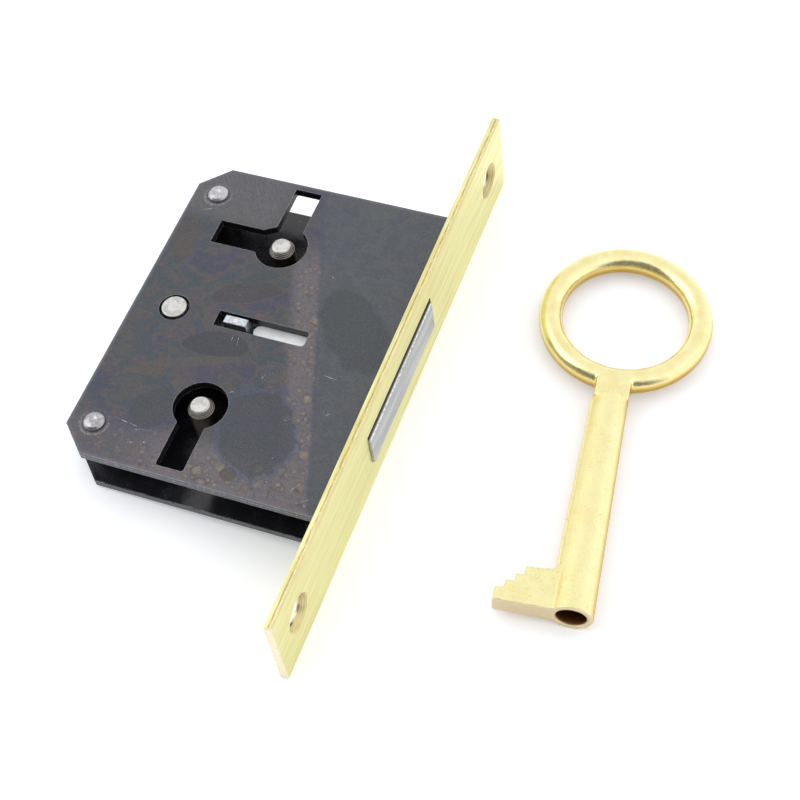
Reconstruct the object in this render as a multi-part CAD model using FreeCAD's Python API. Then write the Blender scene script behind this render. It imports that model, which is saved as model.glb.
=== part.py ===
import FreeCAD, Part
import math
import os

# Small cupboard mortise lock with its barrel key, millimetres.
# Origin: centre of the faceplate's front face.
# +X is the way the bolt is thrown, +Y runs along the faceplate, +Z points out of the cover plate.

# ---- driving dimensions -------------------------------------------------------------------
PLATE_HEIGHT = 75.0          # faceplate along Y
PLATE_WIDTH = 12.0           # faceplate along Z
PLATE_THICK = 1.0            # faceplate along X
SCREW_Y = 32.2               # wood-screw holes, above and below the centre
SCREW_HOLE_R = 1.75
SCREW_SINK_R = 2.4
BOLT_SLOT_Y = (-10.4, 10.65)
BOLT_SLOT_Z = (-2.65, 2.65)

CASE_BACK = -34.4            # rear edge of both case plates
CASE_HALF = 22.35            # half the case height along Y
COVER_Z = (2.35, 3.5)
BASE_Z = (-3.5, -2.5)
COVER_CHAMFER = 3.3
BASE_CHAMFER = 3.7

BACKSET = -20.1              # X of both key pins
KEY_PITCH = 12.3             # the key pins stand this far above and below the centre
KEYHOLE_R = 3.3
PIN_R = 1.6
PIVOT_X = -29.15             # lever pivot, on the centre line
THROW = 7.5

CORNER_X = -31.2             # corner rivets
CORNER_Y = 18.0
SPRING_X = PIVOT_X - 2.05    # leaf springs of the levers
ANCHOR_Y = 11.0              # slotted post that holds their free ends

BOLT_Y = (-10.35, 10.2)
BOLT_FACE = 0.3              # the drawn bolt still stands a little proud of the faceplate
BOLT_Z = (-2.42, 2.2)
TAIL_TOP = -0.8
HEAD_BACK = -9.7
TAIL_BACK = -26.75
TAIL_HALF = 5.2

LEVER_THICK = 0.9
LEVER_FLOORS = (-0.7, 0.3)   # underside of lever 1 and of lever 2
LEVER_LIFT = 12.0            # degrees each lever swings
BIT_RADII = (8.9, 7.9, 6.9, 5.95)
BIT_STEPS = (0.0, 1.7, 2.7, 3.7, 4.75)

KEY_TIP = (27.33, -21.25, -5.61)   # centre of the open end of the barrel
KEY_LENGTH = 41.6                  # open end to the middle of the ring
KEY_HEADING = 97.9                 # degrees from +X to the way the bow points
KEY_TAPER_TILT = 0.75              # the tapered barrel lies on its side
TABLE_SLOPE = 4.28                 # the lock lies on its faceplate edge, tilted to the table

FIT = 0.05                   # clearance of fixed pins and rivets in their holes
RIVET_R = 1.1                # shank of every rivet and riveted pin foot
FOOT_R = 1.8                 # its flush end under the base plate
FOOT_DEPTH = 0.7

POST_X = (-22.36, -19.4)     # guide post on the bolt
POST_Y = (-0.575, 0.575)
STRIP_Z = (1.35, 2.2)        # flat strip on the bolt, over the levers
CROSS_X = (HEAD_BACK, -8.35)
STRIP_RIVET_Y = 3.0
STRIP_RIVET_R = 0.5
BRAKE_X = -15.5              # middle of the brake spring
BRAKE_HALF = 3.2

RING_R = 9.2                 # key ring, centre line
RING_WIRE_R = 1.5
BARREL_R = (2.5, 2.1)        # open end, bow end
BARREL_LENGTH = 29.4
BORE_R = 1.7


# ---- helpers ------------------------------------------------------------------------------
def vec(x, y, z):
    return FreeCAD.Vector(x, y, z)


def block(x, y, z):
    """Box from three (low, high) pairs."""
    return Part.makeBox(x[1] - x[0], y[1] - y[0], z[1] - z[0], vec(x[0], y[0], z[0]))


def disc(x, y, radius, z):
    """Upright cylinder between the two heights in z."""
    return Part.makeCylinder(radius, z[1] - z[0], vec(x, y, z[0]))


def prism(points, z):
    """Upright prism over a closed outline of (x, y) points."""
    corners = [vec(x, y, z[0]) for x, y in points]
    face = Part.Face(Part.makePolygon(corners + corners[:1]))
    return face.extrude(vec(0, 0, z[1] - z[0]))


def turned(profile, x, y):
    """Solid turned about the upright axis at (x, y) from (radius, height) points."""
    corners = [vec(radius, 0, height) for radius, height in profile]
    face = Part.Face(Part.makePolygon(corners + corners[:1]))
    solid = face.revolve(vec(0, 0, 0), vec(0, 0, 1), 360)
    solid.translate(vec(x, y, 0))
    return solid


def upright_edges(shape, keep):
    """Edges parallel to Z whose (x, y) passes the test keep."""
    chosen = []
    for edge in shape.Edges:
        if len(edge.Vertexes) != 2:
            continue
        a, b = (vertex.Point for vertex in edge.Vertexes)
        if abs(a.x - b.x) < 1e-6 and abs(a.y - b.y) < 1e-6 and keep(a.x, a.y):
            chosen.append(edge)
    return chosen


def save(name, *solids):
    shape = solids[0] if len(solids) == 1 else Part.makeCompound(list(solids))
    shape.exportStep("parts/" + name + ".step")


# ---- faceplate ----------------------------------------------------------------------------
def screw_hole(y):
    """Countersunk hole along X, wide at the front face."""
    drill = Part.makeCylinder(SCREW_HOLE_R, PLATE_THICK + 2, vec(-PLATE_THICK - 1, y, 0), vec(1, 0, 0))
    depth = SCREW_SINK_R - SCREW_HOLE_R
    sink = Part.makeCone(SCREW_HOLE_R, SCREW_SINK_R, depth, vec(-depth, y, 0), vec(1, 0, 0))
    return drill.fuse(sink)


def faceplate():
    half_height, half_width = PLATE_HEIGHT / 2, PLATE_WIDTH / 2
    plate = block((-PLATE_THICK, 0), (-half_height, half_height), (-half_width, half_width))
    slot = block((-PLATE_THICK - 1, 1), BOLT_SLOT_Y, BOLT_SLOT_Z)
    return plate.cut([slot, screw_hole(SCREW_Y), screw_hole(-SCREW_Y)])


# ---- case ---------------------------------------------------------------------------------
def plate_outline(chamfer):
    front, back, half = -PLATE_THICK, CASE_BACK, CASE_HALF
    return [(front, -half), (front, half), (back + chamfer, half), (back, half - chamfer),
            (back, -half + chamfer), (back + chamfer, -half)]


def keyhole(side):
    """Round hole over one key pin with a slot that runs outwards; side is +1 up, -1 down."""
    y = side * KEY_PITCH
    reach, corner = (21.5, 0.15) if side > 0 else (21.2, 0.35)
    through = (COVER_Z[0] - 1, COVER_Z[1] + 1)
    slot = block((BACKSET - 1.75, BACKSET + 1.75), sorted((y, side * reach)), through)
    slot = slot.makeFillet(corner, upright_edges(slot, lambda _, edge_y: abs(edge_y) > 20))
    return disc(BACKSET, y, KEYHOLE_R, through).fuse(slot)


def cover_plate():
    through = (COVER_Z[0] - 1, COVER_Z[1] + 1)
    side_slot = block((-29.1, BACKSET), (10.7, 14.25), through)
    slot_corner = prism([(-23.4, 14.2), (-21.8, 14.2), (-21.8, 15.2)], through)
    post_slot = block((-23.5, -11.7), (-1.1, 1.15), through)
    post_slot = post_slot.makeFillet(0.45, upright_edges(post_slot, lambda x, y: x > -12))
    holes = [keyhole(1), keyhole(-1), side_slot, slot_corner, post_slot,
             disc(PIVOT_X, 0, 1.9, through)]
    for y in (CORNER_Y, -CORNER_Y):
        holes.append(disc(CORNER_X, y, RIVET_R + FIT, through))
    plate = prism(plate_outline(COVER_CHAMFER), COVER_Z).cut(holes)
    # two tongues bent down behind the ears of the base hold the front edge
    height = (-1.5, COVER_Z[0] + 0.2)
    tongues = [block((-3.0, -2.0), y, height) for y in ((13.5, 18.5), (-18.5, -13.5))]
    return plate.fuse(tongues).removeSplitter()


def base_plate():
    """Channel: flat plate with a rear wall and two front ears bent up towards the cover."""
    plate = prism(plate_outline(BASE_CHAMFER), BASE_Z)
    bend = (BASE_Z[0], COVER_Z[0])
    rear_half = CASE_HALF - BASE_CHAMFER
    rear = block((CASE_BACK, CASE_BACK + 1.0), (-rear_half, rear_half), bend)
    ears = [block((-2.0, -PLATE_THICK), y, bend) for y in ((10.8, CASE_HALF), (-CASE_HALF, -10.8))]
    channel = plate.fuse([rear] + ears).removeSplitter()
    holes = [sunk_hole(CORNER_X, y) for y in (CORNER_Y, -CORNER_Y)]
    holes += [sunk_hole(BACKSET, y) for y in (KEY_PITCH, -KEY_PITCH)]
    holes += [sunk_hole(PIVOT_X, 0), sunk_hole(SPRING_X, ANCHOR_Y)]
    return channel.cut(holes)


def sunk_hole(x, y):
    """Rivet hole through the base plate, countersunk from below."""
    low, high = BASE_Z
    wide, narrow = FOOT_R + FIT, RIVET_R + FIT
    profile = [(0, low - 1), (wide, low - 1), (wide, low), (narrow, low + FOOT_DEPTH),
               (narrow, high + 1), (0, high + 1)]
    return turned(profile, x, y)


def rivet_foot():
    """Profile points of a flush riveted end in the base plate, from the axis outwards."""
    low, high = BASE_Z
    return [(0, low), (FOOT_R, low), (RIVET_R, low + FOOT_DEPTH), (RIVET_R, high)]


def corner_rivet(y):
    """Rivet with a domed, centre-punched head on the cover."""
    top = COVER_Z[1]
    head = [(RIVET_R, top), (1.35, top), (1.3, top + 0.25), (1.05, top + 0.48), (0.6, top + 0.62),
            (0.35, top + 0.6), (0, top + 0.42)]
    return turned(rivet_foot() + head, CORNER_X, y)


def corner_spacer(y):
    """Distance sleeve around a corner rivet, between the two plates."""
    height = (BASE_Z[1], COVER_Z[0])
    return disc(CORNER_X, y, 2.1, height).cut(disc(CORNER_X, y, RIVET_R + FIT, height))


def key_pin(y):
    """Turned pin the barrel key slips over, with a blunt conical end."""
    body = [(PIN_R, BASE_Z[1]), (PIN_R, 2.95), (1.1, 3.75), (1.03, 3.8), (0, 3.8)]
    return turned(rivet_foot() + body, BACKSET, y)


def pivot_pin():
    """Lever pivot with a low shoulder that carries the levers; its flat end shows in the cover."""
    shoulder = LEVER_FLOORS[0] - 0.05
    body = [(2.2, BASE_Z[1]), (2.2, shoulder), (PIN_R, shoulder), (PIN_R, 3.55),
            (PIN_R - 0.15, 3.7), (0, 3.7)]
    return turned(rivet_foot() + body, PIVOT_X, 0)


def pivot_collar():
    """Loose ring that keeps the levers down, between the upper lever and the cover."""
    height = (LEVER_FLOORS[1] + LEVER_THICK + 0.05, COVER_Z[0] - 0.05)
    return disc(PIVOT_X, 0, 2.9, height).cut(disc(PIVOT_X, 0, PIN_R + FIT, height))


# ---- lever springs ------------------------------------------------------------------------
def spring_anchor():
    """Slotted post that holds the free ends of both lever springs."""
    top = COVER_Z[0] - 0.1
    post = turned(rivet_foot() + [(1.3, BASE_Z[1]), (1.3, top), (0, top)], SPRING_X, ANCHOR_Y)
    slit_x = (SPRING_X - 0.25, SPRING_X + 0.25)
    slit = block(slit_x, (ANCHOR_Y - 2, ANCHOR_Y + 2), (LEVER_FLOORS[0] - 0.2, COVER_Z[0]))
    return post.cut(slit)


def lever_spring(floor):
    """Flat leaf, set in the lever's hub at one end and in the slotted post at the other."""
    leaf_x = (SPRING_X - 0.15, SPRING_X + 0.15)
    return block(leaf_x, (1.3, ANCHOR_Y + 1.0), (floor + 0.05, floor + LEVER_THICK - 0.05))


# ---- bolt ---------------------------------------------------------------------------------
def talon(side):
    """Notch in the edge of the tail that the key bit turns in."""
    y = sorted((side * 3.0, side * (TAIL_HALF + 1)))
    middle = BACKSET - THROW / 2
    return block((middle - 1.8, middle + 1.8), y, (BOLT_Z[0] - 1, TAIL_TOP + 1))


def widened(span, by):
    """A (low, high) pair, wider by this much at both ends."""
    return (span[0] - by, span[1] + by)


def rivet_holes(radius, z):
    """The two holes for the rivets of the strip."""
    return [disc(sum(CROSS_X) / 2, y, radius, z) for y in (STRIP_RIVET_Y, -STRIP_RIVET_Y)]


def bolt_head():
    """Full-depth block with a chamfer along the upper edge of its face."""
    head = block((HEAD_BACK, BOLT_FACE), BOLT_Y, BOLT_Z)
    upper = [edge for edge in head.Edges
             if edge.BoundBox.XMin > 0 and edge.BoundBox.ZMin > 0 and edge.BoundBox.YLength > 1]
    return head.makeChamfer(0.35, upper)


def bolt_tail():
    """Thin plate with a talon in each long edge."""
    tail = block((TAIL_BACK, HEAD_BACK + 0.5), (-TAIL_HALF, TAIL_HALF), (BOLT_Z[0], TAIL_TOP))
    tail = tail.cut([talon(1), talon(-1)])
    return tail.makeFillet(0.5, upright_edges(tail, lambda x, y: x < -15 and abs(y) > 5))


def bolt():
    """Die-cast bolt: head in the faceplate, tail on the floor of the case."""
    floor, top = BOLT_Z
    seat = block((HEAD_BACK - 1, CROSS_X[1] + FIT), (-4.05, 4.05), (STRIP_Z[0], top + 1))
    socket = block(widened(POST_X, FIT), widened(POST_Y, FIT), (floor + 0.3, TAIL_TOP + 1))
    brake_x = (BRAKE_X - BRAKE_HALF, BRAKE_X + BRAKE_HALF)
    pocket = block(widened(brake_x, 0.2), (-1.4, 1.4), (floor - 1, floor + 0.7))
    hollows = [seat, socket, pocket] + rivet_holes(STRIP_RIVET_R + FIT, (0.0, top + 1))
    return bolt_head().fuse(bolt_tail()).removeSplitter().cut(hollows)


def brake_spring():
    """Bowed leaf in a pocket under the tail; its belly rubs on the floor of the case."""
    bottom, ends, thick = BASE_Z[1] + 0.02, BOLT_Z[0] + 0.45, 0.2
    bows = []
    for rise in (0, thick):
        left, right = vec(-BRAKE_HALF, 0, ends + rise), vec(BRAKE_HALF, 0, ends + rise)
        bows.append(Part.Arc(left, vec(0, 0, bottom + rise), right).toShape())
    sides = [Part.makeLine(vec(x, 0, ends), vec(x, 0, ends + thick)) for x in (-BRAKE_HALF, BRAKE_HALF)]
    outline = Part.Wire(Part.__sortEdges__(bows + sides))
    leaf = Part.Face(outline).extrude(vec(0, 2.4, 0))
    leaf.translate(vec(BRAKE_X, -1.2, 0))
    return leaf


def bolt_post():
    """Flat-sided guide post: stands in the tail, passes the levers, shows in the cover slot."""
    post = block(POST_X, POST_Y, (BOLT_Z[0] + 0.3, 3.9))
    top = [edge for edge in post.Edges if edge.BoundBox.ZMin > 3.8]
    return post.makeFillet(0.2, top)


def bolt_strip():
    """Flat steel strip over the levers, rounded at its free end, with a cross piece on the head."""
    middle_y, half = 0.3, 0.9
    tip = POST_X[1] + 0.47
    stem = block((tip + half, CROSS_X[1]), (middle_y - half, middle_y + half), STRIP_Z)
    cross = block(CROSS_X, (-4.0, 4.0), STRIP_Z)
    strip = stem.fuse([disc(tip + half, middle_y, half, STRIP_Z), cross]).removeSplitter()
    return strip.cut(rivet_holes(STRIP_RIVET_R + FIT, STRIP_Z))


def strip_rivets():
    return rivet_holes(STRIP_RIVET_R, (0.05, STRIP_Z[1]))


# ---- levers -------------------------------------------------------------------------------
def lever_window():
    """Opening around the guide post, wide enough for the post at either end of the swing."""
    wedge = prism([(6.55, -2.2), (6.55, 2.2), (18.2, 4.6), (18.2, -4.6)], (-1, LEVER_THICK + 1))
    return wedge.common(disc(0, 0, 17.6, (-1, LEVER_THICK + 1)))


def lever_nose():
    """Finger into the window: an arrow head that stops the post, on a narrower neck."""
    outline = [(12.15, -0.12), (12.15, 0.12), (13.9, 0.9), (13.9, 0.3), (18.3, 0.3),
               (18.3, -0.3), (13.9, -0.3), (13.9, -0.9)]
    return prism(outline, (0, LEVER_THICK))


def belly(radius, side):
    """Path of the key bit, seen from the lever when that bit has swung it fully aside."""
    angle = math.radians(LEVER_LIFT)
    x, y = BACKSET - PIVOT_X, KEY_PITCH
    centre_x = x * math.cos(angle) - y * math.sin(angle)
    centre_y = x * math.sin(angle) + y * math.cos(angle)
    return disc(centre_x, side * centre_y, radius + 0.1, (-1, LEVER_THICK + 1))


def lever(floor, bit_radius):
    """Two-way lever: either key swings it, away from that key, until the post clears its nose."""
    flank = [(-1.0, 3.2), (3.0, 7.2), (12.2, 8.0), (16.0, 7.0), (19.6, 5.6)]
    outline = flank + [(x, -y) for x, y in reversed(flank)]
    blank = prism(outline, (0, LEVER_THICK)).common(disc(0, 0, 19.1, (0, LEVER_THICK)))
    blank = blank.fuse(disc(0, 0, 3.4, (0, LEVER_THICK)))
    plate = blank.cut([lever_window(), belly(bit_radius, 1), belly(bit_radius, -1)]).fuse(lever_nose())
    plate = plate.common(disc(0, 0, 19.1, (0, LEVER_THICK))).removeSplitter()
    slit = block((-2.05 - 0.18, -2.05 + 0.18), (1.2, 5.0), (-1, LEVER_THICK + 1))
    plate = plate.cut([disc(0, 0, PIN_R + FIT, (-1, LEVER_THICK + 1)), slit])
    plate.translate(vec(PIVOT_X, 0, floor))
    return plate


# ---- key ----------------------------------------------------------------------------------
def key_bit():
    """Stepped bit, longest at the open end of the barrel."""
    outline = [(0, 1.9)]
    for radius, start, end in zip(BIT_RADII, BIT_STEPS, BIT_STEPS[1:]):
        outline += [(start, radius), (end, radius)]
    outline += [(5.0, 3.0), (6.0, 1.9)]
    bit = prism(outline, (-1.35, 1.35))
    longest = [edge for edge in bit.Edges
               if edge.BoundBox.YMin > BIT_RADII[0] - 0.01 and edge.BoundBox.XLength > 1]
    return bit.makeFillet(0.3, longest)


def key():
    """One casting: ring, flat neck, tapered hollow barrel with its parting ridge, and bit."""
    along = vec(1, 0, 0)
    barrel = Part.makeCone(BARREL_R[0], BARREL_R[1], BARREL_LENGTH, vec(0, 0, 0), along)
    neck = block((BARREL_LENGTH - 0.4, KEY_LENGTH - RING_R + 0.3), (-2.1, 2.1), (-1.45, 1.45))
    neck = neck.makeFillet(0.3, [edge for edge in neck.Edges if edge.BoundBox.XLength > 1])
    ring = Part.makeTorus(RING_R, RING_WIRE_R, vec(KEY_LENGTH, 0, 0))
    ridge = prism([(0, 1.8), (0, 2.75), (BARREL_LENGTH, 2.35), (BARREL_LENGTH, 1.8)], (-0.55, 0.55))
    solid = barrel.fuse([neck, ring, ridge, key_bit()]).removeSplitter()
    bore = Part.makeCylinder(BORE_R, 22.0, vec(-1, 0, 0), along)
    cone = Part.makeCone(BORE_R + 0.2, BORE_R, 0.2, vec(0, 0, 0), along)
    solid = solid.cut([bore, cone])
    solid.rotate(vec(0, 0, 0), vec(0, 1, 0), KEY_TAPER_TILT)
    solid.rotate(vec(0, 0, 0), vec(0, 0, 1), KEY_HEADING)
    solid.rotate(vec(0, 0, 0), vec(0, 1, 0), TABLE_SLOPE)
    solid.translate(vec(*KEY_TIP))
    return solid


# ---- write every piece --------------------------------------------------------------------
def main():
    os.makedirs("parts", exist_ok=True)
    save("faceplate", faceplate())
    save("base_plate", base_plate())
    save("cover_plate", cover_plate())
    save("corner_rivets", corner_rivet(CORNER_Y), corner_rivet(-CORNER_Y))
    save("corner_spacers", corner_spacer(CORNER_Y), corner_spacer(-CORNER_Y))
    save("key_pin_upper", key_pin(KEY_PITCH))
    save("key_pin_lower", key_pin(-KEY_PITCH))
    save("pivot_pin", pivot_pin())
    save("pivot_collar", pivot_collar())
    save("spring_anchor", spring_anchor())
    save("bolt", bolt())
    save("bolt_post", bolt_post())
    save("bolt_strip", bolt_strip())
    save("bolt_strip_rivets", *strip_rivets())
    save("brake_spring", brake_spring())
    for number, (floor, radius) in enumerate(zip(LEVER_FLOORS, BIT_RADII[1:]), start=1):
        save("lever_%d" % number, lever(floor, radius))
        save("lever_spring_%d" % number, lever_spring(floor))
    save("key", key())


main()
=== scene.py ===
import math

import bpy
from mathutils import Euler, Matrix, Vector


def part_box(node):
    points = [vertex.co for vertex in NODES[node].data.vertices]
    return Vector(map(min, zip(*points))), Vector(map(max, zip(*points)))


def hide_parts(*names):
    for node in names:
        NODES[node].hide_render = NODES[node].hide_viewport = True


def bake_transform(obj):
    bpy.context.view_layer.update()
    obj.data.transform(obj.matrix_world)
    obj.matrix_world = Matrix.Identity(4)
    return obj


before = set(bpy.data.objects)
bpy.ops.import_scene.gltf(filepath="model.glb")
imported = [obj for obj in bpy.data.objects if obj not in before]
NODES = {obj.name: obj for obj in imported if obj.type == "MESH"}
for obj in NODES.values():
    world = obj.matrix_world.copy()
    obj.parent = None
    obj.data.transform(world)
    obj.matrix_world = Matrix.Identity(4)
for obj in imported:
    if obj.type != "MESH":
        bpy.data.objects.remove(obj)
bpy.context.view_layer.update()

# ---- dimensions in millimetres, in the lock's own frame ------------------------------------
MM = 0.001


def box_mm(node):
    """Lowest and highest corner of a CAD node at rest."""
    return [Vector(corner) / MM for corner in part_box(node)]


PLATE_END, PLATE_TOP = box_mm("faceplate")[1].yz
BOLT_TOP = box_mm("bolt")[1].z
COVER_BACK = box_mm("cover_plate")[0].x
COVER_HALF, COVER_TOP = box_mm("cover_plate")[1].yz
COVER_CHAMFER = 3.3
COVER_CORNER = COVER_HALF - COVER_BACK - COVER_CHAMFER  # |y| - x along its cut corners

SCREW_HOLES = ((0.0, 32.2, 0.0), (0.0, -32.2, 0.0))
SCREW_SINK_R = 2.4
SCREW_SINK_PITCH = 0.2417                        # of the tool marks in the countersinks
CORNER_RIVETS = ((-31.2, 18.0, 3.5), (-31.2, -18.0, 3.5))
KEY_PINS = ((-20.1, 12.3, 3.8), (-20.1, -12.3, 3.8))
PIVOT = (-29.15, 0.0, 3.7)
PIN_RIDGE_PITCH = 0.21                           # up the sides of the turned pins
PIN_FACE_PITCH = 0.3                             # of the rings on their tops
POST = (-20.88, 0.0, 3.9)
LEAF_STEPS = 32                                  # parts of a leaf spring along its length

TABLE_SLOPE = math.radians(4.28)                 # the lock lies on an edge, tilted to the table
TABLE_POINT = (-1.0, 0.0, -6.03)                 # a point of the table, just under that edge
TABLE_HALF = 1500.0

KEY_TIP = (27.33, -21.25, -5.61)                 # centre of the open end of the key barrel
KEY_HEADING = math.radians(97.9)                 # from +X to the way the ring points
KEY_TILT = math.radians(0.75)                    # the tapered barrel lies on its side
KEY_TURN = (Matrix.Rotation(TABLE_SLOPE, 3, "Y") @ Matrix.Rotation(KEY_HEADING, 3, "Z")
            @ Matrix.Rotation(KEY_TILT, 3, "Y")).to_euler()
KEY_RING_X = 41.6                                # ring centre along the key, from the open end
KEY_RING_REACH = 11.0                            # from that centre, just past the ring
KEY_BORE_R = 1.7
KEY_BORE_DEPTH = 21.0

# Size of a texture along an axis that it doesn't vary with: for patterns, and for distances.
FLAT = 1e3
ALONG_AXIS = 1e6


# ---- node materials ------------------------------------------------------------------------
class Finish:
    """A procedural material whose textures are laid out in millimetres of the lock's frame."""

    def __init__(self, name, **sockets):
        self.material = bpy.data.materials.new(name)
        self.material.use_nodes = True
        self.tree = self.material.node_tree
        self.shader = self.tree.nodes["Principled BSDF"]
        self.coordinates = self.tree.nodes.new("ShaderNodeTexCoord").outputs["Object"]
        for label, value in sockets.items():
            self.set(label.replace("_", " "), value)

    def set(self, label, value):
        """Feeds one input of the surface shader, from a socket or with a constant."""
        self.feed(self.shader.inputs[label], value)

    def feed(self, socket, value):
        """Links a socket to an input, or sets the input to a constant."""
        if isinstance(value, bpy.types.NodeSocket):
            self.tree.links.new(value, socket)
        elif socket.type == "RGBA":
            socket.default_value = (*value, 1.0)
        else:
            socket.default_value = value

    def add(self, kind, inputs, **settings):
        node = self.tree.nodes.new("ShaderNode" + kind)
        for label, value in settings.items():
            setattr(node, label, value)
        for label, value in inputs.items():
            self.feed(node.inputs[label], value)
        return node

    def place(self, centre=(0, 0, 0), size=(1, 1, 1), turn=(0, 0, 0)):
        """Coordinates from a centre, turned, in units of size millimetres along each axis."""
        inputs = {
            "Vector": self.coordinates,
            "Location": [value * MM for value in centre],
            "Rotation": turn,
            "Scale": [value * MM for value in size],
        }
        return self.add("Mapping", inputs, vector_type="TEXTURE").outputs[0]

    def noise(self, where, detail=3.0, roughness=0.5):
        """Cloudy noise with lumps about one unit wide, from 0 to 1."""
        inputs = {"Vector": where, "Scale": 1.0, "Detail": detail, "Roughness": roughness}
        return self.add("TexNoise", inputs).outputs["Fac"]

    def warp(self, where, amount, size=1.0):
        """Coordinates pushed about by a colour noise of the given size."""
        cloud = self.add("TexNoise", {"Vector": where, "Scale": 1.0 / size, "Detail": 2.0})
        centred = self.vector("SUBTRACT", cloud.outputs["Color"], (0.5, 0.5, 0.5))
        pushed = self.add("VectorMath", {0: centred, "Scale": amount}, operation="SCALE")
        return self.vector("ADD", where, pushed.outputs[0])

    def cells(self, where, feature="F1", output="Distance"):
        """A pattern of scattered cells, one unit apart."""
        inputs = {"Vector": where, "Scale": 1.0}
        return self.add("TexVoronoi", inputs, feature=feature).outputs[output]

    def vector(self, operation, a, b):
        return self.add("VectorMath", {0: a, 1: b}, operation=operation).outputs[0]

    def length(self, where):
        return self.add("VectorMath", {0: where}, operation="LENGTH").outputs["Value"]

    def parts(self, where):
        return self.add("SeparateXYZ", {0: where}).outputs

    def math(self, operation, a, b=0.0):
        """One arithmetic step on two numbers or sockets."""
        return self.add("Math", {0: a, 1: b}, operation=operation).outputs[0]

    def times(self, *factors):
        product = factors[0]
        for factor in factors[1:]:
            product = self.math("MULTIPLY", product, factor)
        return product

    def most(self, *values):
        largest = values[0]
        for value in values[1:]:
            largest = self.math("MAXIMUM", largest, value)
        return largest

    def waves(self, value, pitch):
        """Sine waves of the given pitch, from -1 to 1."""
        return self.math("SINE", self.math("MULTIPLY", value, 2 * math.pi / pitch))

    def band(self, value, middle, half, soft):
        """One within half of the middle, nought beyond half + soft."""
        away = self.math("ABSOLUTE", self.math("SUBTRACT", value, middle))
        return self.fade(away, half + soft, half)

    def fade(self, value, start, end, low=0.0, high=1.0):
        """Smooth step from low at start to high at end."""
        inputs = {"Value": value, "From Min": start, "From Max": end, "To Min": low, "To Max": high}
        node = self.add("MapRange", inputs, interpolation_type="SMOOTHSTEP")
        return node.outputs["Result"]

    def ramp(self, value, *stops):
        node = self.add("ValToRGB", {"Fac": value})
        elements = node.color_ramp.elements
        while len(elements) < len(stops):
            elements.new(0.5)
        for element, (position, colour) in zip(elements, stops):
            element.position = position
            element.color = (*colour, 1.0)
        return node.outputs["Color"]

    def mix(self, amount, a, b, blend="MIX"):
        node = self.add("Mix", {}, data_type="RGBA", blend_type=blend)
        self.feed(node.inputs[0], amount)
        self.feed(node.inputs[6], a)
        self.feed(node.inputs[7], b)
        return node.outputs[2]

    def worn_edge(self, radius):
        """One on the rims of a part, nought on its faces."""
        rounded = self.add("Bevel", {"Radius": radius * MM}, samples=6).outputs["Normal"]
        true = self.add("NewGeometry", {}).outputs["True Normal"]
        aligned = self.add("VectorMath", {0: rounded, 1: true}, operation="DOT_PRODUCT")
        return self.fade(aligned.outputs["Value"], 0.995, 0.8)

    def bump(self, *layers):
        """Relief from (height socket, depth in millimetres) pairs, laid over each other."""
        normal = None
        for height, depth in layers:
            inputs = {"Height": height, "Strength": 1.0, "Distance": depth * MM}
            if normal is not None:
                inputs["Normal"] = normal
            normal = self.add("Bump", inputs).outputs["Normal"]
        self.set("Normal", normal)

    def wear(self, *nodes):
        """Gives the material to CAD nodes."""
        for node in nodes:
            mesh = NODES[node].data
            mesh.materials.clear()
            mesh.materials.append(self.material)


def screw_sinks(finish):
    """The turned walls of both countersunk holes, as (mask, tool marks)."""
    walls, marks = [], []
    for centre in SCREW_HOLES:
        radius = finish.length(finish.place(centre=centre, size=(ALONG_AXIS, 1.0, 1.0)))
        walls.append(finish.fade(radius, SCREW_SINK_R + 0.02, SCREW_SINK_R - 0.04))
        marks.append(finish.times(walls[-1], finish.waves(radius, SCREW_SINK_PITCH)))
    below_face = finish.fade(finish.parts(finish.place())[0], -0.02, -0.08)
    return finish.times(finish.most(*walls), below_face), finish.math("ADD", *marks)


def sheared_edge_and_highlight(finish, colour, x, z, broken):
    """The shears left a dark break line along the upper edge; the light line beside it is a painted
    highlight.
    """
    on_edge = finish.fade(z, PLATE_TOP - 0.2, PLATE_TOP - 0.1)
    smear = finish.times(on_edge, finish.fade(x, -0.6, -0.35), finish.fade(broken, 0.3, 0.7, 0.2, 0.8))
    colour = finish.mix(smear, colour, (0.70, 0.56, 0.30))
    break_line = finish.times(on_edge, finish.band(x, -0.46, 0.03, 0.11),
                              finish.fade(broken, 0.38, 0.56, 0.15, 0.85))
    colour = finish.mix(finish.times(break_line, 0.8), colour, (0.33, 0.21, 0.13))
    # painted highlight: a near-white line along the upper edge
    edge_highlight = finish.times(on_edge, finish.band(x, -0.27, 0.02, 0.06),
                              finish.fade(broken, 0.5, 0.6))
    return finish.mix(finish.times(edge_highlight, 0.8), colour, (0.98, 0.94, 0.78))


def sawn_ends(finish, colour, y, broken):
    """Copper shows on both sawn ends of the plate."""
    end = finish.fade(finish.math("ABSOLUTE", y), PLATE_END - 0.2, PLATE_END - 0.1)
    sawn = finish.mix(finish.fade(broken, 0.35, 0.65), (0.80, 0.69, 0.52), (0.90, 0.82, 0.66))
    return finish.mix(finish.times(end, 0.75), colour, sawn)


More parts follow.
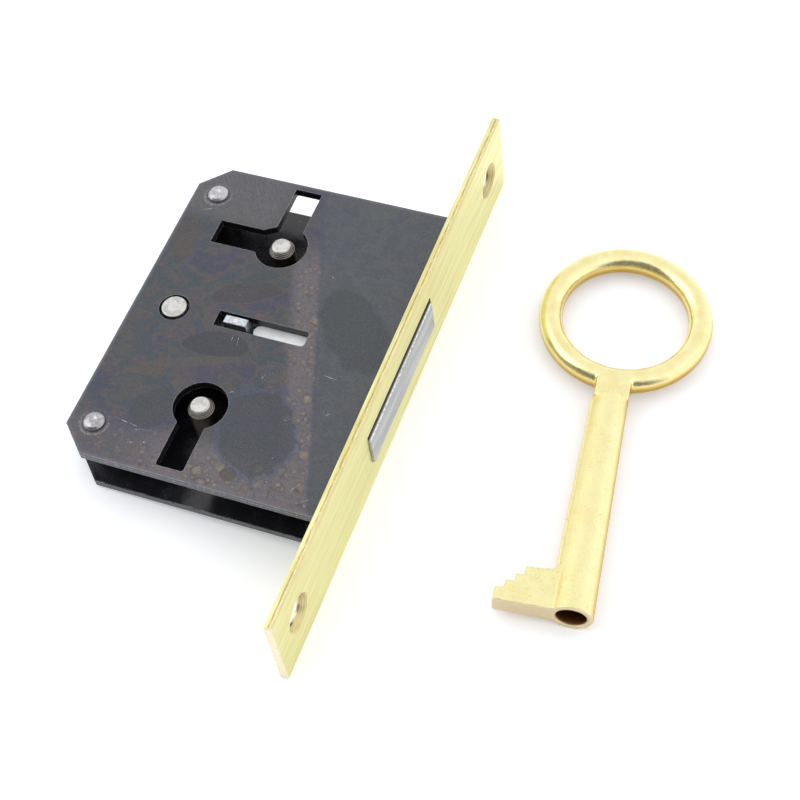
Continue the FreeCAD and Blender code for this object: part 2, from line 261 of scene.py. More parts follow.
def brass_sheet():
    """Brushed sheet brass: fine lines along the plate, sheared edges with a painted highlight, and
    countersinks painted darker as shade, with turned tool marks.
    """
    finish = Finish("brass_sheet", Metallic=1.0)
    fine = finish.noise(finish.place(size=(0.6, 9.0, 0.09)), detail=4.0, roughness=0.7)
    broad = finish.noise(finish.place(size=(3.0, 22.0, 0.8)), detail=3.0)
    cloud = finish.noise(finish.place(size=(5.0, 7.0, 4.0)), detail=2.0)
    lines = finish.mix(finish.fade(fine, 0.3, 0.7), (0.62, 0.56, 0.19), (0.90, 0.86, 0.42))
    bands = finish.mix(finish.fade(broad, 0.35, 0.65, 0.0, 0.45), lines, (0.90, 0.87, 0.48))
    colour = finish.mix(finish.fade(cloud, 0.55, 0.75, 0.0, 0.4), bands, (0.78, 0.70, 0.25))
    x, y, z = finish.parts(finish.warp(finish.place(), 0.12, 1.2))[:3]
    broken = finish.noise(finish.place(size=(0.3, 1.3, 0.3)), detail=4.0, roughness=0.65)
    colour = sheared_edge_and_highlight(finish, colour, x, z, broken)
    colour = sawn_ends(finish, colour, y, broken)
    sinks, tool_marks = screw_sinks(finish)
    # painted shade: the countersink walls are a darker brown, as shade in the recess; the tool marks
    # on them are real
    shaded_sink_brass = finish.mix(finish.fade(cloud, 0.35, 0.65), (0.30, 0.21, 0.09), (0.66, 0.55, 0.28))
    turned = finish.mix(finish.fade(tool_marks, -0.8, 0.8, 0.0, 0.45), shaded_sink_brass, (0.80, 0.70, 0.42))
    finish.set("Base Color", finish.mix(finish.times(sinks, 0.85), colour, turned))
    finish.set("Roughness", finish.fade(fine, 0.2, 0.8, 0.28, 0.42))
    finish.bump((fine, 0.012), (cloud, 0.03), (tool_marks, 0.006))
    return finish


def zinc_bolt():
    """Die-cast bolt: faces ground lengthwise; painted shade makes the bevelled upper edge and the
    whole upper side near black, and a painted highlight runs as a dotted line beneath that edge.
    """
    finish = Finish("zinc_casting", Metallic=1.0)
    fine = finish.noise(finish.place(size=(0.5, 6.0, 0.07)), detail=4.0, roughness=0.75)
    patches = finish.noise(finish.place(size=(2.5, 9.0, 1.2)), detail=3.0)
    speck = finish.noise(finish.place(size=(0.2, 0.4, 0.2)), detail=4.0, roughness=0.7)
    tone = finish.math("ADD", finish.times(fine, 0.75), finish.times(patches, 0.25))
    colour = finish.mix(finish.fade(tone, 0.38, 0.62), (0.33, 0.34, 0.355), (0.66, 0.675, 0.69))
    colour = finish.mix(finish.fade(speck, 0.60, 0.70, 0.0, 0.6), colour, (0.16, 0.16, 0.17))
    height = finish.parts(finish.place())[2]
    # painted shade: near black from just under the bevelled top edge upwards, the whole upper side
    # included
    painted_gap_shade = finish.fade(height, BOLT_TOP - 0.18, BOLT_TOP - 0.1, 0.0, 0.9)
    colour = finish.mix(painted_gap_shade, colour, (0.05, 0.05, 0.05))
    # painted highlight: a dotted bright line along the foot of the bevel
    line = finish.band(height, BOLT_TOP - 0.26, 0.03, 0.07)
    painted_highlight_dots = finish.times(line, finish.fade(speck, 0.42, 0.54))
    finish.set("Base Color", finish.mix(painted_highlight_dots, colour, (0.84, 0.85, 0.87)))
    finish.set("Roughness", finish.fade(fine, 0.3, 0.7, 0.36, 0.5))
    finish.bump((fine, 0.01), (speck, 0.006))
    return finish


def brushed(name, dark, light, along, rough, metallic):
    """Bare metal with fine grinding lines; along is the grain size of the lines per axis."""
    finish = Finish(name, Metallic=metallic)
    fine = finish.noise(finish.place(size=along), detail=4.0, roughness=0.7)
    patches = finish.noise(finish.place(size=(2.5, 2.5, 2.5)), detail=3.0)
    tone = finish.math("ADD", finish.times(fine, 0.6), finish.times(patches, 0.4))
    finish.set("Base Color", finish.mix(finish.fade(tone, 0.35, 0.65), dark, light))
    finish.set("Roughness", finish.fade(patches, 0.3, 0.7, rough - 0.05, rough + 0.08))
    finish.bump((fine, 0.008))
    return finish


def turning_marks(finish):
    """Rings about the upper key pin, crossed near the other two pins by rings of their own."""
    def distance(centre):
        return finish.length(finish.place(centre=centre, size=(1.0, 1.0, ALONG_AXIS)))

    marks = finish.waves(distance(KEY_PINS[0]), PIN_FACE_PITCH)
    for centre in (KEY_PINS[1], PIVOT):
        radius = distance(centre)
        own = finish.times(finish.waves(radius, PIN_FACE_PITCH), finish.fade(radius, 3.0, 2.5))
        marks = finish.math("ADD", marks, own)
    return marks


def turned_steel():
    """Lathe-turned pins: ridges on the sides, a faced top, and a little brown in the grain; painted
    shade darkens the lower sides, the troughs between the ridges, and the part down in the keyholes.
    """
    finish = Finish("turned_steel", Metallic=1.0)
    grain = finish.noise(finish.place(size=(0.25, 0.25, 0.06)), detail=4.0)
    cloud = finish.noise(finish.place(size=(0.7, 0.7, 0.7)), detail=4.0)
    height = finish.parts(finish.place())[2]
    ridges = finish.waves(height, PIN_RIDGE_PITCH)
    colour = finish.mix(finish.fade(cloud, 0.35, 0.65), (0.47, 0.465, 0.455), (0.64, 0.635, 0.625))
    # painted shade: the lower, conical sides are darker than the faced top
    side = finish.fade(height, COVER_TOP + 0.16, COVER_TOP + 0.1)
    colour = finish.mix(finish.times(side, 0.8), colour, (0.26, 0.24, 0.21))
    # painted shade in the troughs between the ridges
    groove_shade = finish.times(side, finish.fade(ridges, 0.2, -0.8))
    colour = finish.mix(finish.times(groove_shade, 0.6), colour, (0.14, 0.12, 0.09))
    brown = finish.times(side, finish.fade(grain, 0.58, 0.7))
    colour = finish.mix(finish.times(brown, 0.6), colour, (0.24, 0.18, 0.11))
    # painted shade: the pin is near black down in the keyhole, under the cover's top
    shaft_shade = finish.fade(height, COVER_TOP - 0.5, COVER_TOP - 0.65)
    colour = finish.mix(finish.times(shaft_shade, 0.8), colour, (0.055, 0.045, 0.035))
    finish.set("Base Color", colour)
    finish.set("Roughness", finish.fade(grain, 0.3, 0.7, 0.3, 0.45))
    finish.bump((turning_marks(finish), 0.003), (grain, 0.01), (finish.times(ridges, side), 0.02))
    return finish


def plated_post():
    """Zinc-plated guide post with the ring of a centre punch on its top."""
    finish = Finish("zinc_plated_post", Metallic=1.0)
    speck = finish.noise(finish.place(size=(0.22, 0.22, 0.22)), detail=4.0, roughness=0.7)
    from_punch = finish.length(finish.place(centre=POST, size=(1.0, 1.0, ALONG_AXIS)))
    ring = finish.band(from_punch, 0.2, 0.03, 0.05)
    colour = finish.mix(finish.fade(speck, 0.36, 0.62), (0.40, 0.43, 0.47), (0.68, 0.72, 0.77))
    finish.set("Base Color", finish.mix(finish.times(ring, 0.7), colour, (0.92, 0.94, 0.96)))
    finish.set("Roughness", finish.fade(speck, 0.3, 0.7, 0.3, 0.45))
    finish.bump((speck, 0.02), (ring, 0.02))
    return finish


# Stains on the cover: centre, half axes, turn in degrees, inner colour and rim colour.
POOLS = (
    ((-12.3, -13.8), (6.3, 4.6), -70, (0.036, 0.041, 0.052), (0.050, 0.070, 0.125)),
    ((-21.9, -3.6), (4.3, 1.8), 8, (0.026, 0.028, 0.036), (0.058, 0.062, 0.062)),
    ((-21.6, 4.5), (4.6, 1.6), 21, (0.040, 0.034, 0.042), (0.074, 0.062, 0.062)),
    ((-25.4, -14.3), (3.2, 2.5), 60, (0.034, 0.037, 0.050), (0.036, 0.050, 0.100)),
    ((-23.7, -6.8), (6.1, 0.7), 20, (0.078, 0.066, 0.056), (0.062, 0.056, 0.060)),
    ((-28.6, -9.6), (3.0, 0.6), 8, (0.074, 0.062, 0.052), (0.060, 0.054, 0.058)),
    ((-6.7, 2.9), (6.6, 3.4), -50, (0.034, 0.039, 0.045), (0.042, 0.048, 0.052)),
    ((-32.4, 10.5), (1.5, 3.4), 10, (0.060, 0.048, 0.040), (0.050, 0.044, 0.044)),
    ((-18.5, 1.7), (0.65, 0.3), 20, (0.140, 0.050, 0.070), (0.075, 0.050, 0.050)),
    ((-20.6, 7.2), (2.2, 0.8), 30, (0.030, 0.046, 0.050), (0.038, 0.046, 0.048)),
    ((-13.2, -20.0), (0.9, 0.85), 0, (0.074, 0.056, 0.044), (0.050, 0.034, 0.036)),
)
# Scratches: centre, length, turn in degrees.
SCRATCHES = (
    ((-28.1, 1.0), 1.3, 10), ((-6.9, -4.3), 2.6, -8), ((-9.9, -4.0), 1.2, -4),
    ((-5.4, -9.3), 1.0, 40), ((-5.9, -9.0), 0.8, -60), ((-9.6, -11.2), 1.1, 35),
    ((-20.4, -2.3), 1.6, 98), ((-19.6, -2.4), 1.8, 102), ((-27.4, -16.9), 4.4, -8),
    ((-25.4, -17.4), 3.0, 14), ((-24.4, -18.9), 1.6, 64), ((-25.9, -19.3), 1.2, 20),
    ((-5.2, -19.3), 1.8, 55), ((-3.4, -20.6), 1.2, 30), ((-14.6, -6.4), 0.9, 70),
    ((-31.4, 15.5), 2.2, 20), ((-17.2, -9.4), 1.4, 30), ((-12.1, 9.6), 1.1, -35),
)
ROSETTE = (-13.7, -5.5, 0.0)
ROSETTE_R = 1.75
ROSETTE_PITCH = 0.42
# The stained side begins where x + STAIN_SLANT * y falls below STAIN_LINE.
STAIN_LINE = -10.5
STAIN_SLANT = 0.35


def tempering_colours(finish, where):
    """Slate, violet, brown and teal greys of the oxide on the stained side."""
    clouds = finish.noise(finish.warp(where, 0.5, 0.5), detail=5.0, roughness=0.56)
    return finish.ramp(clouds, (0.30, (0.026, 0.038, 0.066)), (0.42, (0.044, 0.041, 0.076)),
                       (0.48, (0.078, 0.058, 0.056)), (0.53, (0.028, 0.048, 0.066)),
                       (0.60, (0.066, 0.058, 0.054)), (0.67, (0.036, 0.044, 0.066)),
                       (0.78, (0.052, 0.046, 0.070)))


def drops(finish, size, shift):
    """Dried drops: soft paler discs with a faint darker ring, as (disc, ring) masks."""
    where = finish.warp(finish.place(centre=(shift, shift, 0), size=(size, size, FLAT)), 0.3, 0.6)
    distance = finish.cells(where)
    return finish.fade(distance, 0.35, 0.14), finish.band(distance, 0.34, 0.02, 0.06)


def pool(finish, colour, uneven, centre, half, turn, inner, rim):
    """One stain with a sharp, uneven outline laid over the colour."""
    where = finish.place(centre=(*centre, 0), size=(*half, ALONG_AXIS),
                         turn=(0, 0, math.radians(turn)))
    distance = finish.length(finish.vector("ADD", where, uneven))
    inside = finish.fade(distance, 1.0, 0.95, 0.0, 0.8)
    outline = finish.times(finish.fade(distance, 0.9, 0.99), finish.fade(distance, 1.12, 1.0))
    return finish.mix(finish.times(outline, 0.6), finish.mix(inside, colour, inner), rim)


def scratch(finish, centre, length, turn):
    """Mask of a hair line, pushed about a little along its way."""
    where = finish.place(centre=(*centre, 0), size=(length / 2, 0.05, FLAT),
                         turn=(0, 0, math.radians(turn)))
    return finish.fade(finish.length(finish.warp(where, 1.6, 0.5)), 1.0, 0.5)


def rivet_smear_and_sheen(finish, centre):
    """Mask of the bright ring where the riveting tool touched the cover, stronger on the lower side as
    a painted sheen.
    """
    where = finish.place(centre=centre, size=(1.0, 1.0, FLAT))
    # painted sheen: the ring is brighter on its lower side
    below = finish.fade(finish.parts(where)[1], 1.2, -0.8, 0.2, 1.0)
    return finish.times(finish.band(finish.length(where), 1.72, 0.04, 0.22), below, 0.45)


def plain_side(finish, mottle):
    """Even, mottled blue-grey oxide with greenish clouds."""
    grey = finish.mix(finish.fade(mottle, 0.35, 0.65), (0.058, 0.062, 0.077), (0.074, 0.080, 0.086))
    green = finish.fade(finish.noise(finish.place(size=(9.0, 9.0, FLAT))), 0.5, 0.62, 0.0, 0.6)
    return finish.mix(green, grey, (0.078, 0.088, 0.078))


def warm_corner(finish, colour, x, y):
    """Warmer, finely lined oxide near the upper rear corner."""
    near = finish.times(finish.fade(y, 13.0, 16.0), finish.fade(x, -20.0, -24.0), 0.8)
    lines = finish.noise(finish.place(size=(0.12, 3.0, FLAT), turn=(0, 0, 0.6)), detail=3.0)
    grey = finish.mix(finish.fade(lines, 0.35, 0.65), (0.090, 0.085, 0.086), (0.130, 0.122, 0.124))
    return finish.mix(near, colour, grey)


def dried_belt(finish, colour, mottle, belt):
    """Paler oxide with drops of three sizes, wherever the belt mask is."""
    colour = finish.mix(finish.times(belt, 0.7), colour, (0.170, 0.140, 0.142))
    crowded = finish.fade(mottle, 0.42, 0.58, 0.2, 1.0)
    for size, shift in ((0.7, 3.0), (1.1, 11.0), (2.3, 23.0)):
        disc, ring = drops(finish, size, shift)
        colour = finish.mix(finish.times(disc, belt, crowded, 0.65), colour, (0.270, 0.215, 0.140))
        colour = finish.mix(finish.times(ring, belt, crowded, 0.5), colour, (0.050, 0.028, 0.030))
    return colour


def oxide_ground(finish, flat):
    """The plain side, the stained side and the slanting line between them."""
    mottle = finish.noise(finish.place(size=(1.6, 1.6, FLAT)), detail=5.0, roughness=0.65)
    x, y = finish.parts(finish.warp(flat, 0.5, 1.5))[:2]
    line = finish.math("ADD", x, finish.times(y, STAIN_SLANT))
    stained = finish.fade(line, STAIN_LINE + 0.4, STAIN_LINE - 0.4)
    colour = finish.mix(stained, plain_side(finish, mottle),
                        tempering_colours(finish, finish.place(size=(7.0, 5.0, FLAT))))
    blue = finish.times(finish.band(line, STAIN_LINE - 0.1, 0.2, 0.6), 0.45)
    colour = finish.mix(blue, colour, (0.040, 0.045, 0.105))
    colour = warm_corner(finish, colour, x, y)
    # drops dried beside that line and along the lower edge
    beside = finish.times(finish.fade(line, STAIN_LINE - 4.3, STAIN_LINE - 2.3),
                          finish.fade(y, 15.5, 9.0))
    low = finish.times(finish.fade(y, -15.5, -18.5), finish.fade(x, -28.0, -20.0, 0.4, 1.0))
    belt = finish.times(finish.most(beside, low), stained)
    return dried_belt(finish, colour, mottle, belt)


def rosette(finish, colour):
    """Evaporation rings of one large drop."""
    where = finish.warp(finish.place(centre=ROSETTE, size=(1.0, 1.0, FLAT)), 0.25, 0.9)
    radius = finish.length(where)
    rings = finish.fade(finish.waves(radius, ROSETTE_PITCH), -0.4, 0.7)
    rings = finish.times(rings, finish.fade(radius, ROSETTE_R, ROSETTE_R - 0.15), 0.55)
    return finish.mix(rings, colour, (0.100, 0.086, 0.084))


def sparkle(finish, colour, grain):
    """Coloured flecks, and a finer light and dark grain."""
    fleck = finish.noise(finish.place(size=(0.45, 0.45, 0.45)), detail=5.0, roughness=0.7)
    tints = finish.ramp(fleck, (0.34, (0.54, 0.66, 0.92)), (0.5, (0.88, 0.92, 0.98)),
                        (0.64, (1.0, 0.90, 0.80)))
    colour = finish.mix(1.0, colour, tints, blend="MULTIPLY")
    colour = finish.mix(finish.fade(grain, 0.52, 0.72, 0.0, 0.55), colour, (0.150, 0.150, 0.156))
    return finish.mix(finish.fade(grain, 0.47, 0.3, 0.0, 0.65), colour, (0.012, 0.012, 0.016))


def inward(finish, x, y):
    """Distance in millimetres from the outline of the cover, growing inwards."""
    height = finish.math("ABSOLUTE", y)
    side = finish.math("SUBTRACT", COVER_HALF, height)
    back = finish.math("SUBTRACT", x, COVER_BACK)
    across = finish.math("SUBTRACT", height, x)
    corner = finish.times(finish.math("SUBTRACT", COVER_CORNER, across), math.sqrt(0.5))
    return finish.math("MINIMUM", finish.math("MINIMUM", side, back), corner)


def rim_highlight_and_walls(finish, colour, inside, z):
    """A painted highlight: a lighter bluish band along the outline; walls in the openings painted
    black as shade, streaked grey round the outside.
    """
    hue = finish.noise(finish.place(size=(2.2, 2.2, FLAT)), detail=3.0)
    # painted highlight: a lighter bluish band along the outline
    rim_highlight = finish.ramp(hue, (0.36, (0.085, 0.100, 0.135)), (0.5, (0.110, 0.108, 0.150)),
                      (0.62, (0.160, 0.110, 0.125)))
    colour = finish.mix(finish.fade(inside, 0.55, 0.05, 0.0, 0.85), colour, rim_highlight)
    wall = finish.fade(z, COVER_TOP - 0.13, COVER_TOP - 0.2)
    streak = finish.noise(finish.place(size=(2.5, 2.5, 0.14)), detail=4.0, roughness=0.7)
    outer = finish.mix(finish.fade(streak, 0.35, 0.65), (0.032, 0.033, 0.042), (0.11, 0.115, 0.135))
    colour = finish.mix(finish.times(wall, finish.fade(inside, 0.4, 0.3)), colour, outer)
    # painted shade: the walls inside the openings are near black
    return finish.mix(finish.times(wall, finish.fade(inside, 0.4, 0.5)), colour, (0.006, 0.005, 0.006))


def bare_marks_and_highlight(finish, inside, z):
    """Mask of uncovered metal and painted light: dust, scratches, riveting marks with their painted
    sheen, worn rims with a painted highlight, the shear line.
    """
    broken = finish.noise(finish.place(size=(0.22, 0.22, 3.0)), detail=4.0, roughness=0.75)
    speck = finish.noise(finish.place(size=(0.2, 0.2, 5.0)), detail=1.0)
    bare_and_highlight = finish.fade(speck, 0.79, 0.83)
    for mark in SCRATCHES:
        bare_and_highlight = finish.most(bare_and_highlight, scratch(finish, *mark))
    for centre in CORNER_RIVETS:
        bare_and_highlight = finish.most(bare_and_highlight, rivet_smear_and_sheen(finish, centre))
    bare_and_highlight = finish.times(bare_and_highlight, finish.fade(broken, 0.46, 0.58))
    # painted highlight: the lighter rims stand for light caught by the rounded outline, with some real
    # wear
    rim = finish.times(finish.worn_edge(0.16), finish.fade(broken, 0.42, 0.6, 0.25, 0.9))
    shear_line = finish.times(finish.band(z, COVER_TOP - 0.55, 0.02, 0.05),
                              finish.fade(inside, 0.4, 0.3), finish.fade(broken, 0.48, 0.58))
    return finish.most(bare_and_highlight, rim, shear_line)


def oxidised_steel():
    """Oil-blackened sheet: a plain side, a stained side, scratches, worn rims with a painted
    highlight, and cut walls, those in the openings painted black as shade.
    """
    finish = Finish("oxidised_steel", Specular_IOR_Level=0.6)
    flat = finish.place(size=(1.0, 1.0, FLAT))
    colour = oxide_ground(finish, flat)
    uneven = finish.vector("SUBTRACT", finish.warp(flat, 0.6, 2.2), flat)
    for stain in POOLS:
        colour = pool(finish, colour, uneven, *stain)
    colour = rosette(finish, colour)
    grain = finish.noise(finish.place(size=(0.16, 0.16, 0.16)), detail=4.0, roughness=0.75)
    colour = sparkle(finish, colour, grain)
    x, y, z = finish.parts(finish.place())[:3]
    inside = inward(finish, x, y)
    colour = rim_highlight_and_walls(finish, colour, inside, z)
    bare_and_highlight = bare_marks_and_highlight(finish, inside, z)
    finish.set("Base Color", finish.mix(bare_and_highlight, colour, (0.50, 0.53, 0.57)))
    finish.set("Roughness", finish.fade(grain, 0.3, 0.7, 0.36, 0.48))
    finish.bump((grain, 0.008))
    return finish


def black_steel():
    """Gloss black paint with dust, hair scratches, angular chips and a painted highlight along its
    rims.
    """
    finish = Finish("black_steel", Specular_IOR_Level=0.6)
    cloud = finish.noise(finish.place(size=(2.0, 2.0, 2.0)), detail=4.0)
    colour = finish.mix(cloud, (0.008, 0.008, 0.012), (0.020, 0.021, 0.026))
    speck = finish.noise(finish.place(size=(0.25, 0.25, 0.25)), detail=2.0)
    chip = finish.cells(finish.place(size=(0.9, 0.9, 0.7)), output="Color")
    missing = finish.fade(finish.parts(chip)[0], 0.80, 0.83)
    # painted highlight: a lightening along all the rims stands for light caught by the rounded edges,
    # partly worn paint; the angular chips are real
    rubbed_and_highlight = finish.fade(speck, 0.5, 0.6, 0.1, 0.5)
    rim = finish.times(finish.worn_edge(0.22), finish.most(missing, rubbed_and_highlight))
    crack = finish.cells(finish.warp(finish.place(size=(2.2, 2.2, 1.6)), 0.5, 0.4),
                         feature="DISTANCE_TO_EDGE")
    hair = finish.times(finish.fade(crack, 0.012, 0.005), finish.fade(cloud, 0.6, 0.66),
                        finish.fade(speck, 0.5, 0.6))
    dust = finish.fade(speck, 0.8, 0.84)
    bare_and_highlight = finish.most(rim, finish.times(hair, 0.5), dust)
    finish.set("Base Color", finish.mix(bare_and_highlight, colour, (0.46, 0.46, 0.48)))
    finish.set("Roughness", finish.fade(cloud, 0.3, 0.7, 0.16, 0.3))
    finish.bump((cloud, 0.05), (bare_and_highlight, 0.02))
    return finish


def key_brass():
    """Brass-plated casting: polished ring, grainy barrel and bit, pale sawn end, brown bore."""
    finish = Finish("key_brass", Metallic=1.0)
    own = finish.place(centre=KEY_TIP, turn=KEY_TURN)
    along = finish.parts(own)[0]
    from_ring = finish.length(finish.vector("SUBTRACT", own, (KEY_RING_X, 0, 0)))
    cast = finish.fade(from_ring, KEY_RING_REACH, KEY_RING_REACH + 1.5)
    grain = finish.noise(finish.place(size=(0.24, 0.24, 0.24)), detail=5.0, roughness=0.7)
    cloud = finish.noise(finish.place(size=(2.0, 2.0, 2.0)), detail=3.0)
    gold = finish.mix(finish.fade(cloud, 0.3, 0.7), (0.93, 0.81, 0.41), (0.97, 0.90, 0.52))
    pale = finish.mix(finish.times(cast, finish.fade(grain, 0.38, 0.66)), gold, (0.97, 0.91, 0.53))
    pitted = finish.times(finish.fade(grain, 0.42, 0.3), finish.fade(cast, 0.0, 1.0, 0.25, 0.6))
    colour = finish.mix(pitted, pale, (0.62, 0.50, 0.17))
    # painted light and shade: the upper side is paler and the flanks deeper in colour, by which way
    # the surface faces
    upward = finish.parts(finish.add("TexCoord", {}).outputs["Normal"])[2]
    tone = finish.ramp(upward, (0.05, (0.54, 0.38, 0.14)), (0.31, (0.78, 0.68, 0.42)),
                       (0.55, (1.0, 0.99, 0.94)), (0.84, (1.0, 1.0, 1.0)), (1.0, (0.87, 0.87, 0.83)))
    colour = finish.mix(1.0, colour, tone, blend="MULTIPLY")
    end = finish.fade(along, 0.22, 0.08)
    colour = finish.mix(finish.times(end, 0.6), colour, (0.84, 0.75, 0.57))
    from_axis = finish.length(finish.vector("MULTIPLY", own, (0, 1, 1)))
    bore = finish.times(finish.fade(from_axis, KEY_BORE_R + 0.16, KEY_BORE_R + 0.06),
                        finish.fade(along, 0.02, 0.2),
                        finish.fade(along, KEY_BORE_DEPTH + 3.0, KEY_BORE_DEPTH + 2.0))
    finish.set("Base Color", finish.mix(bore, colour, (0.24, 0.10, 0.035)))
    rough = finish.fade(grain, 0.3, 0.7, 0.16, 0.28)
    finish.set("Roughness", finish.math("ADD", finish.times(cast, 0.18), rough))
    finish.bump((finish.times(grain, cast), 0.07), (cloud, 0.05), (grain, 0.012))
    return finish


# ---- pieces --------------------------------------------------------------------------------
def soften(node, width):
    """Small rounded rims on a carried-over part."""
    part = NODES[node]
    weld = part.modifiers.new("weld", "WELD")
    weld.merge_threshold = 0.001 * MM
    flats = part.modifiers.new("flats", "DECIMATE")
    flats.decimate_type = "DISSOLVE"
    flats.angle_limit = math.radians(0.5)
    bevel = part.modifiers.new("rims", "BEVEL")
    bevel.width = width * MM
    bevel.segments = 2
    bevel.limit_method = "ANGLE"
    bevel.angle_limit = math.radians(24)
    bevel.face_strength_mode = "FSTR_ALL"
    shading = part.modifiers.new("shading", "WEIGHTED_NORMAL")
    shading.use_face_influence = True


def cast_key():
    """The key is one casting, so its joints flow into each other."""
    part = NODES["key"]
    remesh = part.modifiers.new("casting", "REMESH")
    remesh.mode = "VOXEL"
    remesh.voxel_size = 0.14 * MM
    remesh.use_smooth_shade = True
    smooth = part.modifiers.new("rounding", "SMOOTH")
    smooth.factor = 0.5
    smooth.iterations = 3


def leaf_spring(node, material):
    """A leaf spring rebuilt as a box cut into LEAF_STEPS parts along its length, in place of the CAD
    node.
    """
    low, high = (Vector(corner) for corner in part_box(node))
    corners = ((low.x, low.z), (high.x, low.z), (high.x, high.z), (low.x, high.z))
    points, faces = [], []
    for step in range(LEAF_STEPS + 1):
        y = low.y + (high.y - low.y) * step / LEAF_STEPS
        points += [(x, y, z) for x, z in corners]
    for step in range(LEAF_STEPS):
        first = 4 * step
        for side in range(4):
            after = (side + 1) % 4
            faces.append((first + side, first + 4 + side, first + 4 + after, first + after))
    last = 4 * LEAF_STEPS
    faces += [(0, 1, 2, 3), (last + 3, last + 2, last + 1, last)]
    mesh = bpy.data.meshes.new(node + "_leaf")
    mesh.from_pydata(points, [], faces)
    mesh.materials.append(material)
    leaf = bpy.data.objects.new(node + "_leaf", mesh)
    bpy.context.scene.collection.objects.link(leaf)
    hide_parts(node)
    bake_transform(leaf)


# ---- table, light and camera, in metres and degrees ----------------------------------------
SIDE_LIGHT_PLACE = (-0.65, -0.15, 0.62)
SIDE_LIGHT_SIZE = 0.8
SIDE_LIGHT_POWER = 1.8                           # watts
TENT_STRENGTH = 1.14
OPENING_STRENGTH = 0.22
PAPER_GLOW = 0.3
CAMERA_PLACE = (0.054919, -0.101953, 0.163473)
CAMERA_TURN = (34.2453, 5.6190, 20.4204)
FOCAL_LENGTH = 76.28                             # millimetres, on a 36 mm sensor


def floor():
    """White paper that glows a little, as paper lit from below does."""
    mesh = bpy.data.meshes.new("floor")
    half = TABLE_HALF * MM
    corners = [(-half, -half, 0), (half, -half, 0), (half, half, 0), (-half, half, 0)]
    mesh.from_pydata(corners, [], [(0, 1, 2, 3)])
    table = bpy.data.objects.new("floor", mesh)
    bpy.context.scene.collection.objects.link(table)
    table.rotation_euler = (0, TABLE_SLOPE, 0)
    table.location = Vector(TABLE_POINT) * MM
    paper = Finish("floor_paper", Roughness=0.7)
    fibre = paper.noise(paper.place(size=(1.2, 1.2, 1.2)), detail=5.0, roughness=0.7)
    paper.set("Base Color", paper.mix(fibre, (0.92, 0.92, 0.93), (0.95, 0.95, 0.955)))
    paper.set("Emission Color", (0.88, 0.93, 1.0))
    paper.set("Emission Strength", PAPER_GLOW)
    paper.bump((fibre, 0.01))
    mesh.materials.append(paper.material)


def side_light():
    """A large, soft lamp to the left, pointed at the lock."""
    light = bpy.data.lights.new("side", "AREA")
    light.shape = "RECTANGLE"
    light.size = light.size_y = SIDE_LIGHT_SIZE
    light.energy = SIDE_LIGHT_POWER
    lamp = bpy.data.objects.new("side", light)
    bpy.context.scene.collection.objects.link(lamp)
    lamp.location = SIDE_LIGHT_PLACE
    lamp.rotation_euler = (-Vector(SIDE_LIGHT_PLACE)).to_track_quat("-Z", "Y").to_euler()


def light_tent():
    """Even white light from all sides but one: the open side, where the viewer stands, is dark."""
    world = bpy.data.worlds.new("studio")
    bpy.context.scene.world = world
    world.use_nodes = True
    tree = world.node_tree
    direction = tree.nodes.new("ShaderNodeSeparateXYZ")
    tree.links.new(tree.nodes.new("ShaderNodeTexCoord").outputs["Generated"], direction.inputs[0])

    def step(axis, start, end):
        node = tree.nodes.new("ShaderNodeMapRange")
        node.interpolation_type = "SMOOTHSTEP"
        node.inputs["From Min"].default_value = start
        node.inputs["From Max"].default_value = end
        tree.links.new(direction.outputs[axis], node.inputs["Value"])
        return node.outputs["Result"]

    opening = tree.nodes.new("ShaderNodeMath")
    opening.operation = "MULTIPLY"
    tree.links.new(step("Y", -0.34, -0.64), opening.inputs[0])
    tree.links.new(step("Z", 0.0, 0.12), opening.inputs[1])
    brightness = tree.nodes.new("ShaderNodeMapRange")
    brightness.inputs["To Min"].default_value = TENT_STRENGTH
    brightness.inputs["To Max"].default_value = OPENING_STRENGTH
    tree.links.new(opening.outputs[0], brightness.inputs["Value"])
    background = tree.nodes["Background"]
    background.inputs["Color"].default_value = (1.0, 1.0, 1.0, 1.0)
    tree.links.new(brightness.outputs["Result"], background.inputs["Strength"])


def camera():
    """Looks down on the lock from beyond the lower end of its faceplate."""
    lens = bpy.data.cameras.new("camera")
    lens.sensor_width = 36.0
    lens.lens = FOCAL_LENGTH
    lens.clip_start = 0.01
    view = bpy.data.objects.new("camera", lens)
    bpy.context.scene.collection.objects.link(view)
    view.location = CAMERA_PLACE
    view.rotation_euler = Euler([math.radians(angle) for angle in CAMERA_TURN])
    bpy.context.scene.camera = view


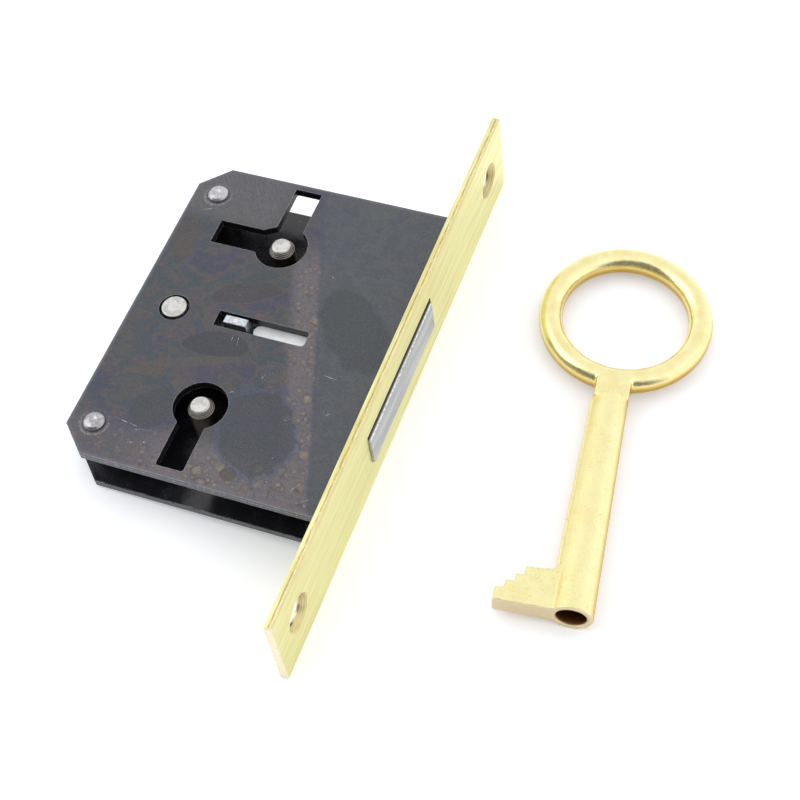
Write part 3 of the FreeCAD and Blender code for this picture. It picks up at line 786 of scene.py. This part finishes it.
# ---- put together --------------------------------------------------------------------------
# name, darker and lighter tone, grain size along the three axes, roughness, metallic, nodes
PLAIN_METALS = (
    ("zinc_plated", (0.78, 0.79, 0.82), (0.93, 0.94, 0.96), (1.5, 0.3, 0.3), 0.5, 0.35,
     ["bolt_strip"]),
    ("bright_steel", (0.30, 0.29, 0.31), (0.56, 0.55, 0.57), (0.3, 0.3, 0.3), 0.28, 1.0,
     ["corner_rivets", "bolt_strip_rivets"]),
    ("dark_steel", (0.14, 0.14, 0.15), (0.26, 0.26, 0.27), (0.3, 0.3, 0.1), 0.45, 1.0,
     ["corner_spacers", "pivot_collar"]),
    ("lever_steel", (0.60, 0.61, 0.63), (0.80, 0.81, 0.83), (3.0, 0.2, 0.3), 0.4, 1.0,
     ["lever_1", "lever_2"]),
)
# width of the rounded rims in millimetres, nodes
RIMS = (
    (0.15, ["cover_plate"]),
    (0.1, ["faceplate", "base_plate"]),
    (0.06, ["bolt"]),
    (0.05, ["key_pin_upper", "key_pin_lower", "pivot_pin", "corner_rivets", "bolt_post",
            "bolt_strip", "lever_1", "lever_2", "spring_anchor", "corner_spacers"]),
)


def dress():
    """Gives every node but the springs its material."""
    brass_sheet().wear("faceplate")
    oxidised_steel().wear("cover_plate")
    black_steel().wear("base_plate")
    turned_steel().wear("key_pin_upper", "key_pin_lower", "pivot_pin", "spring_anchor")
    zinc_bolt().wear("bolt")
    plated_post().wear("bolt_post")
    key_brass().wear("key")
    for name, dark, light, along, rough, metallic, nodes in PLAIN_METALS:
        brushed(name, dark, light, along, rough, metallic).wear(*nodes)


def springs():
    """The brake spring and the two lever springs, in blued steel."""
    steel = brushed("spring_steel", (0.20, 0.22, 0.28), (0.42, 0.44, 0.50), (0.2, 2.0, 0.2), 0.3, 1.0)
    steel.wear("brake_spring")
    for number in ("1", "2"):
        leaf_spring("lever_spring_" + number, steel.material)


def shape():
    """Rounds the rims of the metal parts and joins up the cast key."""
    for width, nodes in RIMS:
        for node in nodes:
            soften(node, width)
    cast_key()


dress()
springs()
shape()
floor()
light_tent()
side_light()
camera()
bpy.context.scene.view_settings.view_transform = "Standard"
